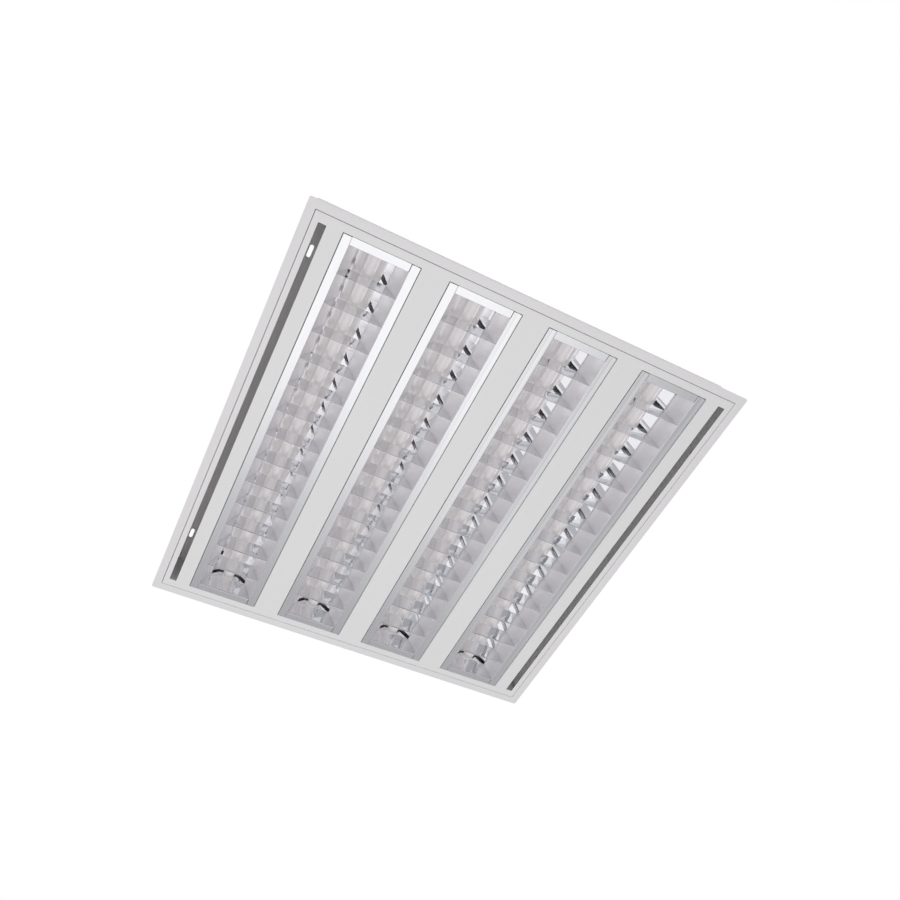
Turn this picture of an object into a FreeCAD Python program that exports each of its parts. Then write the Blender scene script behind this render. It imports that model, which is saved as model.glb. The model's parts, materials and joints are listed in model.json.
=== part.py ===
import FreeCAD, Part
import functools
import math
import os
import re
import Sketcher
from FreeCAD import Vector

# Recessed ceiling light for a 600 mm grid: a sheet-steel tray with four hinged louvre units.
# The origin is the middle of the face, on its lower plane. +Z runs up into the ceiling,
# +Y along the lamps and +X across the louvre units.

# Driving sizes in millimetres, counts as plain numbers.
SIZES = {
    # tray and face
    "face_side": 595.0,
    "rim_width": 10.1,
    "corner_radius": 2.5,
    "steel": 0.8,
    "tray_depth": 53.0,
    "face_gap": 0.7,
    "face_lip": 12.0,
    "unit_count": 4,
    "unit_pitch": 133.5,
    "unit_wide": 96.0,
    "unit_long": 550.0,
    "unit_gap": 0.8,
    "cut_lip": 6.5,
    "slot_wide": 9.8,
    "slot_edge": 12.4,
    "slot_end": 11.4,
    # air ducts
    "duct_inset": 8.5,
    "duct_clear": 0.3,
    # holes in the top of the tray
    "hang_slot_wide": 5.0,
    "hang_slot_long": 16.0,
    "hang_inset": 1.5,
    "hang_pitch": 452.0,
    "inlet_radius": 6.5,
    "inlet_gap": 37.0,
    "inlet_shift": 9.0,
    "inlet_bore": 4.0,
    "rib_wide": 15.0,
    "rib_long": 440.0,
    "rib_rise": 2.5,
    # louvre unit
    "sheet": 0.5,
    "side_flange": 10.8,
    "side_lean": 12.2,
    "louvre_high": 25.0,
    "side_curve": 54.6,
    "end_flange": 9.5,
    "end_lean": 4.0,
    "end_high": 34.0,
    "notch_radius": 10.0,
    "blade_count": 13,
    "blade_pitch": 38.2,
    "blade_half": 4.0,
    "blade_skin": 0.4,
    "blade_curve": 90.0,
    "blade_clear": 0.15,
    "blade_floor": 0.3,
    "blade_edge": 0.8,
    "blade_root": 8.0,
    # hinge and latch of a louvre unit
    "pivot_inset": 8.0,
    "pivot_rise": 2.8,
    "pin_radius": 1.0,
    "pin_clear": 0.08,
    "ear_wide": 5.0,
    "ear_high": 5.6,
    "ear_gap": 1.4,
    "pin_head": 1.9,
    "latch_high": 9.0,
    "latch_gap": 0.4,
    "latch_shift": 2.0,
    # lamp and its holders
    "lamp_radius": 8.0,
    "glass": 0.7,
    "lamp_rise": 38.5,
    "lamp_long": 549.0,
    "cap_long": 9.0,
    "cap_radius": 8.3,
    "contact_long": 7.1,
    "contact_radius": 1.18,
    "contact_half": 2.38,
    "rotor_radius": 7.2,
    "rotor_long": 5.6,
    "rotor_slot": 2.8,
    "rotor_clear": 0.3,
    "holder_gap": 0.4,
    "holder_wide": 19.0,
    "holder_long": 10.6,
    "holder_low": 27.5,
    # reflector above each lamp
    "roof_wide": 24.0,
    "roof_gap": 0.3,
    "trough_gap": 1.0,
    "trough_inset": 16.5,
    "trough_curve": 60.0,
    # ballast
    "ballast_wide": 30.0,
    "ballast_long": 280.0,
    "ballast_high": 21.0,
    "ballast_skin": 0.7,
    "board_long": 236.0,
    # mains parts
    "block_wide": 24.0,
    "block_long": 18.0,
    "block_high": 14.0,
    "block_gap": 24.0,
    "terminal_long": 12.0,
    "core_radius": 1.2,
    "bundle_radius": 1.6,
    "bundle_rise": 49.5,
    "bundle_shift": 11.0,
    "bundle_inset": 6.9,
    "stud_radius": 2.0,
    "stud_long": 12.0,
    "stud_place": 32.0,
    "nut_wide": 7.0,
    "screw_radius": 1.95,
    "screw_head": 3.4,
}

UNITS = (1, 2, 3, 4)
ENDS = (-1, 1)

doc = FreeCAD.newDocument("recessed_troffer")
sheet = doc.addObject("Spreadsheet::Sheet", "Sizes")
sums = doc.addObject("Spreadsheet::Sheet", "Sums")
nodes = []


def fill_sheet():
    """One row for each driving size: its value in column A, its name in column B."""
    for row, (name, value) in enumerate(SIZES.items(), start=1):
        sheet.set(f"A{row}", str(value))
        sheet.set(f"B{row}", name)
        sheet.setAlias(f"A{row}", name)
    sheet.recompute()


def bound(text):
    """The expression with each size's name pointed at its cell in the sheet."""
    def point(found):
        word = found.group(0)
        return "Sizes." + word if word in SIZES else word
    return re.sub(r"[a-z_]+", point, str(text))


@functools.cache
def size(text):
    """The number that an expression of sizes comes to, worked out on a sheet of its own."""
    sums.set("A1", "=" + bound(text))
    sums.recompute()
    return float(sums.get("A1"))


def new_body(label, x="0", y="0", z="0"):
    """A piece of its own, moved to the place of its local origin."""
    body = doc.addObject("PartDesign::Body", label)
    body.Label = label
    body.AllowCompound = True
    for axis, place in (("x", x), ("y", y), ("z", z)):
        body.setExpression(f"Placement.Base.{axis}", bound(place))
    nodes.append(body)
    return body


def origin_part(body, role):
    return [item for item in body.Origin.OriginFeatures if item.Role == role][0]


def new_sketch(body, role, lift="0"):
    """An empty sketch on one of the piece's own origin planes, lifted along its normal."""
    sketch = body.newObject("Sketcher::SketchObject", body.Name + "_sketch")
    sketch.AttachmentSupport = (origin_part(body, role), [""])
    sketch.MapMode = "FlatFace"
    sketch.setExpression("AttachmentOffset.Base.z", bound(lift))
    return sketch


def hold(sketch, constraint, value):
    """Add a dimension to a sketch and bind it to its expression of sizes."""
    index = sketch.addConstraint(constraint)
    sketch.setExpression(f"Constraints[{index}]", bound(value))


def pin_point(sketch, curve, point, x, y):
    """Hold one point of a sketch at a place worked out from the sizes."""
    for kind, value in (("DistanceX", x), ("DistanceY", y)):
        hold(sketch, Sketcher.Constraint(kind, -1, 1, curve, point, size(value)), value)


def arc_through(start, end, radius, side):
    """A short arc between two points; it bulges to the left of the way for side 1, right for -1."""
    chord = end - start
    half = chord.Length / 2
    left = Vector(-chord.y, chord.x, 0).normalize()
    rise = radius - math.sqrt(radius * radius - half * half)
    return Part.Arc(start, start + chord / 2 + left * (side * rise), end)


def outline(sketch, points):
    """A closed outline. Each point is (x, y) or (x, y, radius, side) where an arc leaves it."""
    places = [Vector(size(item[0]), size(item[1]), 0) for item in points]
    first = sketch.GeometryCount
    count = len(points)
    ends = []
    for number, item in enumerate(points):
        start = places[number]
        end = places[(number + 1) % count]
        if len(item) == 2:
            sketch.addGeometry(Part.LineSegment(start, end))
            ends.append((1, 2))
            continue
        sketch.addGeometry(arc_through(start, end, size(item[2]), item[3]))
        forward = sketch.getPoint(first + number, 1).distanceToPoint(start) < 0.001
        ends.append((1, 2) if forward else (2, 1))
        hold(sketch, Sketcher.Constraint("Radius", first + number, size(item[2])), item[2])
    for number in range(count):
        after = (number + 1) % count
        sketch.addConstraint(Sketcher.Constraint(
            "Coincident", first + number, ends[number][1], first + after, ends[after][0]))
    for number, item in enumerate(points):
        pin_point(sketch, first + number, ends[number][0], item[0], item[1])


def box_outline(sketch, x0, x1, y0, y1):
    outline(sketch, [(x0, y0), (x1, y0), (x1, y1), (x0, y1)])


def middle_box(sketch, wide, deep, x="0", y="0"):
    """A rectangle given by its two sides and its middle."""
    box_outline(sketch, f"{x} - ({wide}) / 2", f"{x} + ({wide}) / 2",
                f"{y} - ({deep}) / 2", f"{y} + ({deep}) / 2")


def rounded_square(sketch, half, radius):
    """A square about the origin with its corners rounded."""
    near = f"({half} - {radius})"
    outline(sketch, [
        (f"0 - {near}", f"0 - {half}"), (near, f"0 - {half}", radius, -1),
        (half, f"0 - {near}"), (half, near, radius, -1),
        (near, half), (f"0 - {near}", half, radius, -1),
        (f"0 - {half}", near), (f"0 - {half}", f"0 - {near}", radius, -1),
    ])


def ring(sketch, x, y, radius):
    index = sketch.addGeometry(Part.Circle(Vector(size(x), size(y), 0), Vector(0, 0, 1), size(radius)))
    pin_point(sketch, index, 3, x, y)
    hold(sketch, Sketcher.Constraint("Radius", index, size(radius)), radius)


def pill(sketch, wide, long, x="0", y="0"):
    """An oblong with round ends, long way along the sketch's second axis."""
    side = f"({wide}) / 2"
    straight = f"(({long}) - ({wide})) / 2"
    places = [Vector(size(f"{x} + {side}"), size(f"{y} - {straight}"), 0),
              Vector(size(f"{x} + {side}"), size(f"{y} + {straight}"), 0),
              Vector(size(f"{x} - {side}"), size(f"{y} + {straight}"), 0),
              Vector(size(f"{x} - {side}"), size(f"{y} - {straight}"), 0)]
    top = Vector(size(x), size(f"{y} + ({long}) / 2"), 0)
    low = Vector(size(x), size(f"{y} - ({long}) / 2"), 0)
    first = sketch.GeometryCount
    sketch.addGeometry(Part.LineSegment(places[0], places[1]))
    sketch.addGeometry(Part.Arc(places[1], top, places[2]))
    sketch.addGeometry(Part.LineSegment(places[2], places[3]))
    sketch.addGeometry(Part.Arc(places[3], low, places[0]))
    for number in range(4):
        after = (number + 1) % 4
        sketch.addConstraint(Sketcher.Constraint("Coincident", first + number, 2, first + after, 1))
    pin_point(sketch, first, 1, f"{x} + {side}", f"{y} - {straight}")
    pin_point(sketch, first + 1, 1, f"{x} + {side}", f"{y} + {straight}")
    pin_point(sketch, first + 2, 1, f"{x} - {side}", f"{y} + {straight}")
    pin_point(sketch, first + 3, 1, f"{x} - {side}", f"{y} - {straight}")
    for number, end in ((1, "+"), (3, "-")):
        centre = f"{y} {end} {straight}"
        hold(sketch, Sketcher.Constraint("DistanceY", -1, 1, first + number, 3, size(centre)), centre)


def pad(body, sketch, length, both_ways=False, reverse=False):
    feature = body.newObject("PartDesign::Pad", body.Name + "_pad")
    feature.Profile = sketch
    feature.SideType = "Symmetric" if both_ways else "One side"
    feature.Reversed = reverse
    feature.setExpression("Length", bound(length))


def pocket(body, sketch, length, both_ways=False, reverse=False):
    """A cut that has to take something away: the volume is compared before and after."""
    doc.recompute()
    before = body.Shape.Volume
    feature = body.newObject("PartDesign::Pocket", body.Name + "_pocket")
    feature.Profile = sketch
    feature.SideType = "Symmetric" if both_ways else "One side"
    feature.Reversed = reverse
    feature.setExpression("Length", bound(length))
    doc.recompute()
    if not body.Shape.Volume < before - 0.01:
        raise RuntimeError(f"{body.Label}: a pocket cut nothing")


def turned(body, sketch, role):
    """A full turn of the sketch about one of the piece's own origin axes."""
    feature = body.newObject("PartDesign::Revolution", body.Name + "_turned")
    feature.Profile = sketch
    feature.ReferenceAxis = (origin_part(body, role), [""])
    feature.Angle = 360


def unit_x(unit):
    """Where a unit's middle lies across the face."""
    return f"({unit} - (unit_count + 1) / 2) * unit_pitch"


# Places that several pieces share.
FACE_HALF = "face_side / 2"
WALL_OUT = "(face_side / 2 - rim_width)"
WALL_IN = "(face_side / 2 - rim_width - steel)"
TRAY_TOP = "(tray_depth - steel)"
PLATE_HALF = "(face_side / 2 - rim_width - steel - face_gap)"
SCREW_RISE = "(face_lip * 0.6)"
PIVOT_X = "(unit_wide / 2 - pivot_inset)"
CUT_WIDE = "(unit_wide + 2 * unit_gap)"
CUT_LONG = "(unit_long + 2 * unit_gap)"
HOLDER_FACE = "(lamp_long / 2 + holder_gap)"
SLOT_X = "(face_side / 2 - rim_width - steel - face_gap - slot_edge)"
SLOT_LONG = "(2 * (face_side / 2 - rim_width - steel - face_gap - slot_end))"
HANG_X = "(face_side / 2 - rim_width - steel - face_gap - slot_edge - hang_inset)"
MOUTH_WIDE = "(unit_wide - 2 * side_flange)"
MOUTH_HALF = "(unit_wide / 2 - side_flange)"
THROAT_HALF = "(unit_wide / 2 - side_flange - side_lean)"
END_FACE = "(unit_long / 2 - end_flange)"
BLOCK_Y = "(ballast_long / 2 + terminal_long + block_gap + block_long / 2)"
INLET_Y = "(ballast_long / 2 + terminal_long + block_gap + block_long / 2 + inlet_gap)"
BUNDLE_TURN = "(lamp_long / 2 + holder_gap - bundle_inset)"
BALLAST_SCREW = "(ballast_long / 2 - 14)"
BALLAST_LOW = "(tray_depth - steel - ballast_high)"


def housing():
    """Top sheet of the tray, with two pressed ribs and the holes for fixings and cable."""
    body = new_body("housing")
    outer = new_sketch(body, "XY_Plane", TRAY_TOP)
    middle_box(outer, f"2 * {WALL_OUT}", f"2 * {WALL_OUT}")
    pad(body, outer, "steel")
    ribs = new_sketch(body, "XY_Plane", TRAY_TOP)
    for side in ENDS:
        pill(ribs, "rib_wide", "rib_long", x=f"{side} * unit_pitch")
    pad(body, ribs, "steel + rib_rise")
    swage = new_sketch(body, "XY_Plane", TRAY_TOP)
    for side in ENDS:
        pill(swage, "rib_wide - 2 * steel", "rib_long - 2 * steel", x=f"{side} * unit_pitch")
    pocket(body, swage, "rib_rise", reverse=True)
    holes = new_sketch(body, "XY_Plane")
    for side in ENDS:
        for end in ENDS:
            pill(holes, "hang_slot_wide", "hang_slot_long",
                 x=f"{side} * {HANG_X}", y=f"{end} * hang_pitch / 2")
    ring(holes, "inlet_shift", f"0 - {INLET_Y}", "inlet_radius")
    for end in ENDS:
        ring(holes, "0", f"{end} * {BALLAST_SCREW}", "screw_radius + 0.1")
    pocket(body, holes, "2 * tray_depth", reverse=True)


def tray_walls():
    """Four walls welded under the top sheet, with the outward rim at the face."""
    body = new_body("tray_walls")
    outer = new_sketch(body, "XY_Plane")
    middle_box(outer, f"2 * {WALL_OUT}", f"2 * {WALL_OUT}")
    pad(body, outer, TRAY_TOP)
    rim = new_sketch(body, "XY_Plane")
    rounded_square(rim, FACE_HALF, "corner_radius")
    pad(body, rim, "steel")
    hollow = new_sketch(body, "XY_Plane")
    middle_box(hollow, f"2 * {WALL_IN}", f"2 * {WALL_IN}")
    pocket(body, hollow, "2 * tray_depth", reverse=True)
    for role in ("YZ_Plane", "XZ_Plane"):
        sides = new_sketch(body, role)
        for place in screw_places():
            ring(sides, place, SCREW_RISE, "screw_radius + 0.1")
        pocket(body, sides, "2 * face_side", both_ways=True)


def screw_places():
    """How far along each wall its two face plate screws lie."""
    return ("0 - unit_pitch * 1.5", "unit_pitch * 1.5")


def face_plate():
    """Flat face with its upturned outer lip, four lipped louvre cut-outs and two air slots."""
    body = new_body("face_plate")
    plate = new_sketch(body, "XY_Plane")
    middle_box(plate, f"2 * {PLATE_HALF}", f"2 * {PLATE_HALF}")
    pad(body, plate, "steel")
    lip = new_sketch(body, "XY_Plane")
    middle_box(lip, f"2 * {PLATE_HALF}", f"2 * {PLATE_HALF}")
    middle_box(lip, f"2 * ({PLATE_HALF} - steel)", f"2 * ({PLATE_HALF} - steel)")
    pad(body, lip, "face_lip")
    edges = new_sketch(body, "XY_Plane")
    for unit in UNITS:
        middle_box(edges, f"{CUT_WIDE} + 2 * steel", f"{CUT_LONG} + 2 * steel", x=unit_x(unit))
    pad(body, edges, "cut_lip")
    cuts = new_sketch(body, "XY_Plane")
    for unit in UNITS:
        middle_box(cuts, CUT_WIDE, CUT_LONG, x=unit_x(unit))
    for side in ENDS:
        middle_box(cuts, "slot_wide", SLOT_LONG, x=f"{side} * {SLOT_X}")
    pocket(body, cuts, "cut_lip + 1", reverse=True)
    pivots = new_sketch(body, "XZ_Plane")
    for unit in UNITS:
        ring(pivots, f"{unit_x(unit)} - {PIVOT_X}", "pivot_rise", "pin_radius + pin_clear")
    pocket(body, pivots, f"{CUT_LONG} + 4 * steel", both_ways=True)
    for role in ("YZ_Plane", "XZ_Plane"):
        sides = new_sketch(body, role)
        for place in screw_places():
            ring(sides, place, SCREW_RISE, "screw_radius")
        pocket(body, sides, "2 * face_side", both_ways=True)


def face_plate_screws():
    """Eight pan-head screws that hold the face plate's lip inside the tray's walls."""
    body = new_body("face_plate_screws")
    for role in ("YZ_Plane", "XZ_Plane"):
        for end in ENDS:
            reverse = end < 0
            heads = new_sketch(body, role, f"{end} * {WALL_OUT}")
            shanks = new_sketch(body, role, f"{end} * {WALL_OUT}")
            for place in screw_places():
                ring(heads, place, SCREW_RISE, "screw_head")
                ring(shanks, place, SCREW_RISE, "screw_radius - 0.05")
            pad(body, heads, "screw_head * 0.6", reverse=reverse)
            pad(body, shanks, "steel * 2 + face_gap + 3", reverse=not reverse)


def air_duct(name, side):
    """Channel beside an air slot: a long wall, two end returns and a foot on the face plate."""
    body = new_body(name)
    inner = f"{side} * ({SLOT_X} - duct_inset)"
    outer = f"{side} * ({WALL_IN} - face_gap - steel - duct_clear)"
    end_in = f"({SLOT_LONG} / 2 + 1)"
    walls = new_sketch(body, "XY_Plane", "steel")
    outline(walls, [
        (inner, f"0 - {end_in} - steel"), (outer, f"0 - {end_in} - steel"),
        (outer, f"0 - {end_in}"), (f"{inner} + {side} * steel", f"0 - {end_in}"),
        (f"{inner} + {side} * steel", end_in), (outer, end_in),
        (outer, f"{end_in} + steel"), (inner, f"{end_in} + steel"),
    ])
    pad(body, walls, f"{TRAY_TOP} - steel - duct_clear")


def top_reflector(unit):
    """Trough over a lamp: a flat roof between two arched sides."""
    body = new_body(f"top_reflector_{unit}", unit_x(unit))
    low = "(louvre_high + trough_gap)"
    roof = f"({TRAY_TOP} - roof_gap)"
    profile = new_sketch(body, "XZ_Plane")
    half = THROAT_HALF
    outline(profile, [
        (half, low),
        (f"{half} + sheet", low, "trough_curve", -1),
        ("roof_wide / 2", roof),
        ("0 - roof_wide / 2", roof, "trough_curve", -1),
        (f"0 - {half} - sheet", low),
        (f"0 - {half}", low, "trough_curve - sheet", 1),
        ("0 - roof_wide / 2 + sheet", f"{roof} - sheet"),
        ("roof_wide / 2 - sheet", f"{roof} - sheet", "trough_curve - sheet", 1),
    ])
    pad(body, profile, "lamp_long - 2 * trough_inset", both_ways=True)


def side_arc():
    """The inner line of a side reflector: mouth point, throat point."""
    return (MOUTH_HALF, "0"), (THROAT_HALF, "louvre_high")


def louvre_sides(unit):
    """Two side reflectors: a flat flange at the face and an arched wall that narrows upwards."""
    body = new_body(f"louvre_sides_{unit}", unit_x(unit))
    profile = new_sketch(body, "XZ_Plane")
    (mouth, floor), (throat, top) = side_arc()
    outline(profile, [
        ("unit_wide / 2", floor),
        ("unit_wide / 2", "sheet"),
        (f"{mouth} + sheet * 1.2", "sheet", "side_curve + sheet", -1),
        (f"{throat} + sheet", top),
        (throat, top, "side_curve", 1),
        (mouth, floor),
    ])
    outline(profile, [
        (f"0 - {mouth}", floor, "side_curve", 1),
        (f"0 - {throat}", top),
        (f"0 - {throat} - sheet", top, "side_curve + sheet", -1),
        (f"0 - {mouth} - sheet * 1.2", "sheet"),
        ("0 - unit_wide / 2", "sheet"),
        ("0 - unit_wide / 2", floor),
    ])
    pad(body, profile, "unit_long", both_ways=True)

    ears = new_sketch(body, "XY_Plane")
    ear_out = "(unit_long / 2 + unit_gap - ear_gap)"
    for end in ENDS:
        middle_box(ears, "ear_wide", "sheet", x=f"0 - {PIVOT_X}",
                   y=f"{end} * ({ear_out} - sheet / 2)")
    pad(body, ears, "ear_high")
    holes = new_sketch(body, "XZ_Plane")
    ring(holes, f"0 - {PIVOT_X}", "pivot_rise", "pin_radius + 0.02")
    pocket(body, holes, "unit_long", both_ways=True)


def trim_to_sides(body):
    """Cut a cross piece back to the inside of the two side reflectors."""
    cutter = new_sketch(body, "XZ_Plane")
    mouth = f"({MOUTH_HALF} - blade_clear)"
    throat = f"({THROAT_HALF} - blade_clear)"
    above = "(end_high + 5)"
    outline(cutter, [
        (mouth, "0", "side_curve", -1), (throat, "louvre_high"), (throat, above),
        ("unit_wide", above), ("unit_wide", "0 - 5"), (mouth, "0 - 5"),
    ])
    outline(cutter, [
        (f"0 - {throat}", "louvre_high", "side_curve", -1), (f"0 - {mouth}", "0"),
        (f"0 - {mouth}", "0 - 5"), ("0 - unit_wide", "0 - 5"),
        ("0 - unit_wide", above), (f"0 - {throat}", above),
    ])
    pocket(body, cutter, "unit_long + 10", both_ways=True)


def louvre_ends(unit):
    """Two end plates: a flange at the face, an arched wall and a notch round the lamp."""
    body = new_body(f"louvre_ends_{unit}", unit_x(unit))
    profile = new_sketch(body, "YZ_Plane")
    face = END_FACE
    wall = f"({END_FACE} - end_lean)"
    rim = "(unit_long / 2)"
    outline(profile, [
        (rim, "0"), (rim, "sheet"), (f"{face} + sheet * 1.2", "sheet", "blade_curve + sheet", -1),
        (f"{wall} + sheet", "louvre_high"), (f"{wall} + sheet", "end_high"),
        (wall, "end_high"), (wall, "louvre_high", "blade_curve", 1), (face, "0"),
    ])
    outline(profile, [
        (f"0 - {face}", "0", "blade_curve", 1), (f"0 - {wall}", "louvre_high"),
        (f"0 - {wall}", "end_high"), (f"0 - {wall} - sheet", "end_high"),
        (f"0 - {wall} - sheet", "louvre_high", "blade_curve + sheet", -1),
        (f"0 - {face} - sheet * 1.2", "sheet"), (f"0 - {rim}", "sheet"), (f"0 - {rim}", "0"),
    ])
    pad(body, profile, MOUTH_WIDE, both_ways=True)
    trim_to_sides(body)
    notch = new_sketch(body, "XZ_Plane")
    ring(notch, "0", "lamp_rise", "notch_radius")
    pocket(body, notch, "unit_long", both_ways=True)


def blade_pattern():
    """One cross blade, folded from thin sheet: a narrow lower edge and two flaring flanks."""
    body = new_body("blade_pattern")
    nodes.remove(body)
    profile = new_sketch(body, "YZ_Plane")
    top = "louvre_high"
    outline(profile, [
        ("0 - blade_edge / 2", "blade_floor"),
        ("blade_edge / 2", "blade_floor", "blade_curve", 1),
        ("blade_half", top),
        ("blade_half - blade_skin", top, "blade_curve", -1),
        ("0", "blade_root", "blade_curve", -1),
        ("blade_skin - blade_half", top),
        ("0 - blade_half", top, "blade_curve", 1),
    ])
    pad(body, profile, MOUTH_WIDE, both_ways=True)
    trim_to_sides(body)
    doc.recompute()
    return body.Shape


def louvre_blades(unit, blade):
    """The unit's row of cross blades: copies of one blade at an even pitch along the lamp."""
    count = int(sheet.get("blade_count"))
    pitch = float(sheet.get("blade_pitch"))
    row = []
    for number in range(count):
        copy = blade.copy()
        copy.translate(Vector(0, (number - (count - 1) / 2) * pitch, 0))
        row.append(copy)
    blades = doc.addObject("Part::Feature", f"louvre_blades_{unit}")
    blades.Shape = Part.makeCompound(row)
    blades.setExpression("Placement.Base.x", bound(unit_x(unit)))
    nodes.append(blades)


def hinge_pins(unit):
    """Two headed pins, one at each end, from the louvre's ears into the face plate's lip."""
    body = new_body(f"hinge_pins_{unit}", unit_x(unit))
    ear_in = "(unit_long / 2 + unit_gap - ear_gap - sheet)"
    for end in ENDS:
        for radius, length, reverse in (("pin_head", "1.2", end > 0),
                                        ("pin_radius", "sheet + ear_gap + steel + 1", end < 0)):
            across = new_sketch(body, "XZ_Plane", f"0 - {end} * {ear_in}")
            ring(across, f"0 - {PIVOT_X}", "pivot_rise", radius)
            pad(body, across, length, reverse=not reverse)


def latch_springs(unit):
    """Two spring strips on the free side, standing just inside the face plate's lip."""
    body = new_body(f"latch_springs_{unit}", unit_x(unit))
    leg = "(unit_long / 2 + unit_gap - latch_gap)"
    for end in ENDS:
        strip = new_sketch(body, "YZ_Plane", f"{PIVOT_X} + latch_shift")
        places = [("8", "sheet"), ("0", "sheet"), ("0", "latch_high"), ("0.8", "latch_high + 1.2"),
                  ("1.2", "latch_high + 1"), ("0.4", "latch_high - 0.2"), ("0.4", "sheet + 0.4"),
                  ("8", "sheet + 0.4")]
        outline(strip, [(f"{end} * ({leg} - {back})", rise) for back, rise in places])
        pad(body, strip, "ear_wide", both_ways=True)


def lamp_tube(unit):
    """Straight glass tube, open at both ends inside the caps."""
    body = new_body(f"lamp_tube_{unit}", unit_x(unit), z="lamp_rise")
    wall = new_sketch(body, "XZ_Plane")
    ring(wall, "0", "0", "lamp_radius")
    ring(wall, "0", "0", "lamp_radius - glass")
    pad(body, wall, "lamp_long - 2", both_ways=True)


def lamp_caps(unit):
    """Metal cap with two contact pins on each end of the tube."""
    body = new_body(f"lamp_caps_{unit}", unit_x(unit), z="lamp_rise")
    for end in ENDS:
        face = f"0 - {end} * lamp_long / 2"
        cup = new_sketch(body, "XZ_Plane", face)
        ring(cup, "0", "0", "cap_radius")
        pad(body, cup, "cap_long", reverse=end < 0)
        contacts = new_sketch(body, "XZ_Plane", face)
        for side in ENDS:
            ring(contacts, f"{side} * contact_half", "0", "contact_radius")
        pad(body, contacts, "contact_long", reverse=end > 0)
    bore = new_sketch(body, "XZ_Plane")
    ring(bore, "0", "0", "lamp_radius + 0.02")
    pocket(body, bore, "lamp_long - 2", both_ways=True)


def lamp_rotors(unit):
    """Slotted rotor in each lampholder; the lamp's pins turn with it."""
    body = new_body(f"lamp_rotors_{unit}", unit_x(unit), z="lamp_rise")
    for end in ENDS:
        disc = new_sketch(body, "XZ_Plane", f"0 - {end} * {HOLDER_FACE}")
        ring(disc, "0", "0", "rotor_radius")
        pad(body, disc, "rotor_long", reverse=end > 0)
    slot = new_sketch(body, "XZ_Plane")
    box_outline(slot, "0 - contact_half - contact_radius - 0.3", "rotor_radius + 1",
                "0 - rotor_slot / 2", "rotor_slot / 2")
    pocket(body, slot, "lamp_long + 50", both_ways=True)


def lampholders(unit):
    """Two holder blocks under the tray's top, each with a bore for its rotor and an entry slot."""
    body = new_body(f"lampholders_{unit}", unit_x(unit))
    half = "(holder_wide / 2)"
    for end in ENDS:
        block = new_sketch(body, "XZ_Plane", f"0 - {end} * {HOLDER_FACE}")
        outline(block, [
            (half, TRAY_TOP), (f"0 - {half}", TRAY_TOP), (f"0 - {half}", "holder_low + 5"),
            (f"0 - {half} + 4.5", "holder_low"), (f"{half} - 4.5", "holder_low"),
            (half, "holder_low + 5"),
        ])
        pad(body, block, "holder_long", reverse=end > 0)
    mouth = new_sketch(body, "XZ_Plane")
    ring(mouth, "0", "lamp_rise", "rotor_radius + rotor_clear")
    pocket(body, mouth, f"2 * ({HOLDER_FACE} + contact_long)", both_ways=True)
    entry = new_sketch(body, "XZ_Plane")
    box_outline(entry, "0 - rotor_slot / 2 - 0.3", "rotor_slot / 2 + 0.3", "holder_low - 1", "lamp_rise")
    pocket(body, entry, f"2 * ({HOLDER_FACE} + contact_long)", both_ways=True)


def ballast_case():
    """Channel under the tray's top, open downwards, with a hole for each fixing screw."""
    body = new_body("ballast_case")
    section = new_sketch(body, "XZ_Plane")
    half = "(ballast_wide / 2)"
    inner = "(ballast_wide / 2 - ballast_skin)"
    roof = f"({TRAY_TOP} - ballast_skin)"
    outline(section, [
        (half, BALLAST_LOW), (half, TRAY_TOP), (f"0 - {half}", TRAY_TOP), (f"0 - {half}", BALLAST_LOW),
        (f"0 - {inner}", BALLAST_LOW), (f"0 - {inner}", roof), (inner, roof), (inner, BALLAST_LOW),
    ])
    pad(body, section, "ballast_long", both_ways=True)
    holes = new_sketch(body, "XY_Plane")
    for end in ENDS:
        ring(holes, "0", f"{end} * {BALLAST_SCREW}", "screw_radius + 0.05")
    pocket(body, holes, "2 * tray_depth", reverse=True)


def ballast_cover():
    """Lid of the ballast: a flat floor with two lips inside the case."""
    body = new_body("ballast_cover")
    section = new_sketch(body, "XZ_Plane")
    lip = "(ballast_wide / 2 - ballast_skin - 0.1)"
    floor = f"({BALLAST_LOW} - ballast_skin)"
    low = BALLAST_LOW
    outline(section, [
        ("ballast_wide / 2", floor), ("ballast_wide / 2", low), (lip, low), (lip, f"{low} + 4"),
        (f"{lip} - ballast_skin", f"{low} + 4"), (f"{lip} - ballast_skin", low),
        (f"0 - {lip} + ballast_skin", low), (f"0 - {lip} + ballast_skin", f"{low} + 4"),
        (f"0 - {lip}", f"{low} + 4"), (f"0 - {lip}", low), ("0 - ballast_wide / 2", low),
        ("0 - ballast_wide / 2", floor),
    ])
    pad(body, section, "ballast_long", both_ways=True)


def ballast_board():
    """Circuit board on its spacers, with a choke, a capacitor row and a transformer on it."""
    body = new_body("ballast_board")
    plate = new_sketch(body, "XY_Plane", f"{BALLAST_LOW} + 5")
    middle_box(plate, "ballast_wide - 2 * ballast_skin - 1", "board_long")
    pad(body, plate, "1.6")
    feet = new_sketch(body, "XY_Plane", BALLAST_LOW)
    for end in ENDS:
        ring(feet, "0", f"{end} * board_long * 0.4", "2.5")
    pad(body, feet, "6")
    parts = new_sketch(body, "XY_Plane", f"{BALLAST_LOW} + 5")
    middle_box(parts, "17", "22", y="board_long * 0.25")
    middle_box(parts, "15", "26", y="0 - board_long * 0.22")
    for number in (-1, 0, 1):
        ring(parts, "0", f"{number} * 13", "5")
    pad(body, parts, "12.5")


def ballast_terminals():
    """A row of wire entries at each end of the ballast."""
    body = new_body("ballast_terminals")
    for end in ENDS:
        block = new_sketch(body, "XZ_Plane", f"0 - {end} * ballast_long / 2")
        middle_box(block, "ballast_wide - 2", "11", y=f"{TRAY_TOP} - 6.5")
        pad(body, block, "terminal_long", reverse=end > 0)


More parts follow.
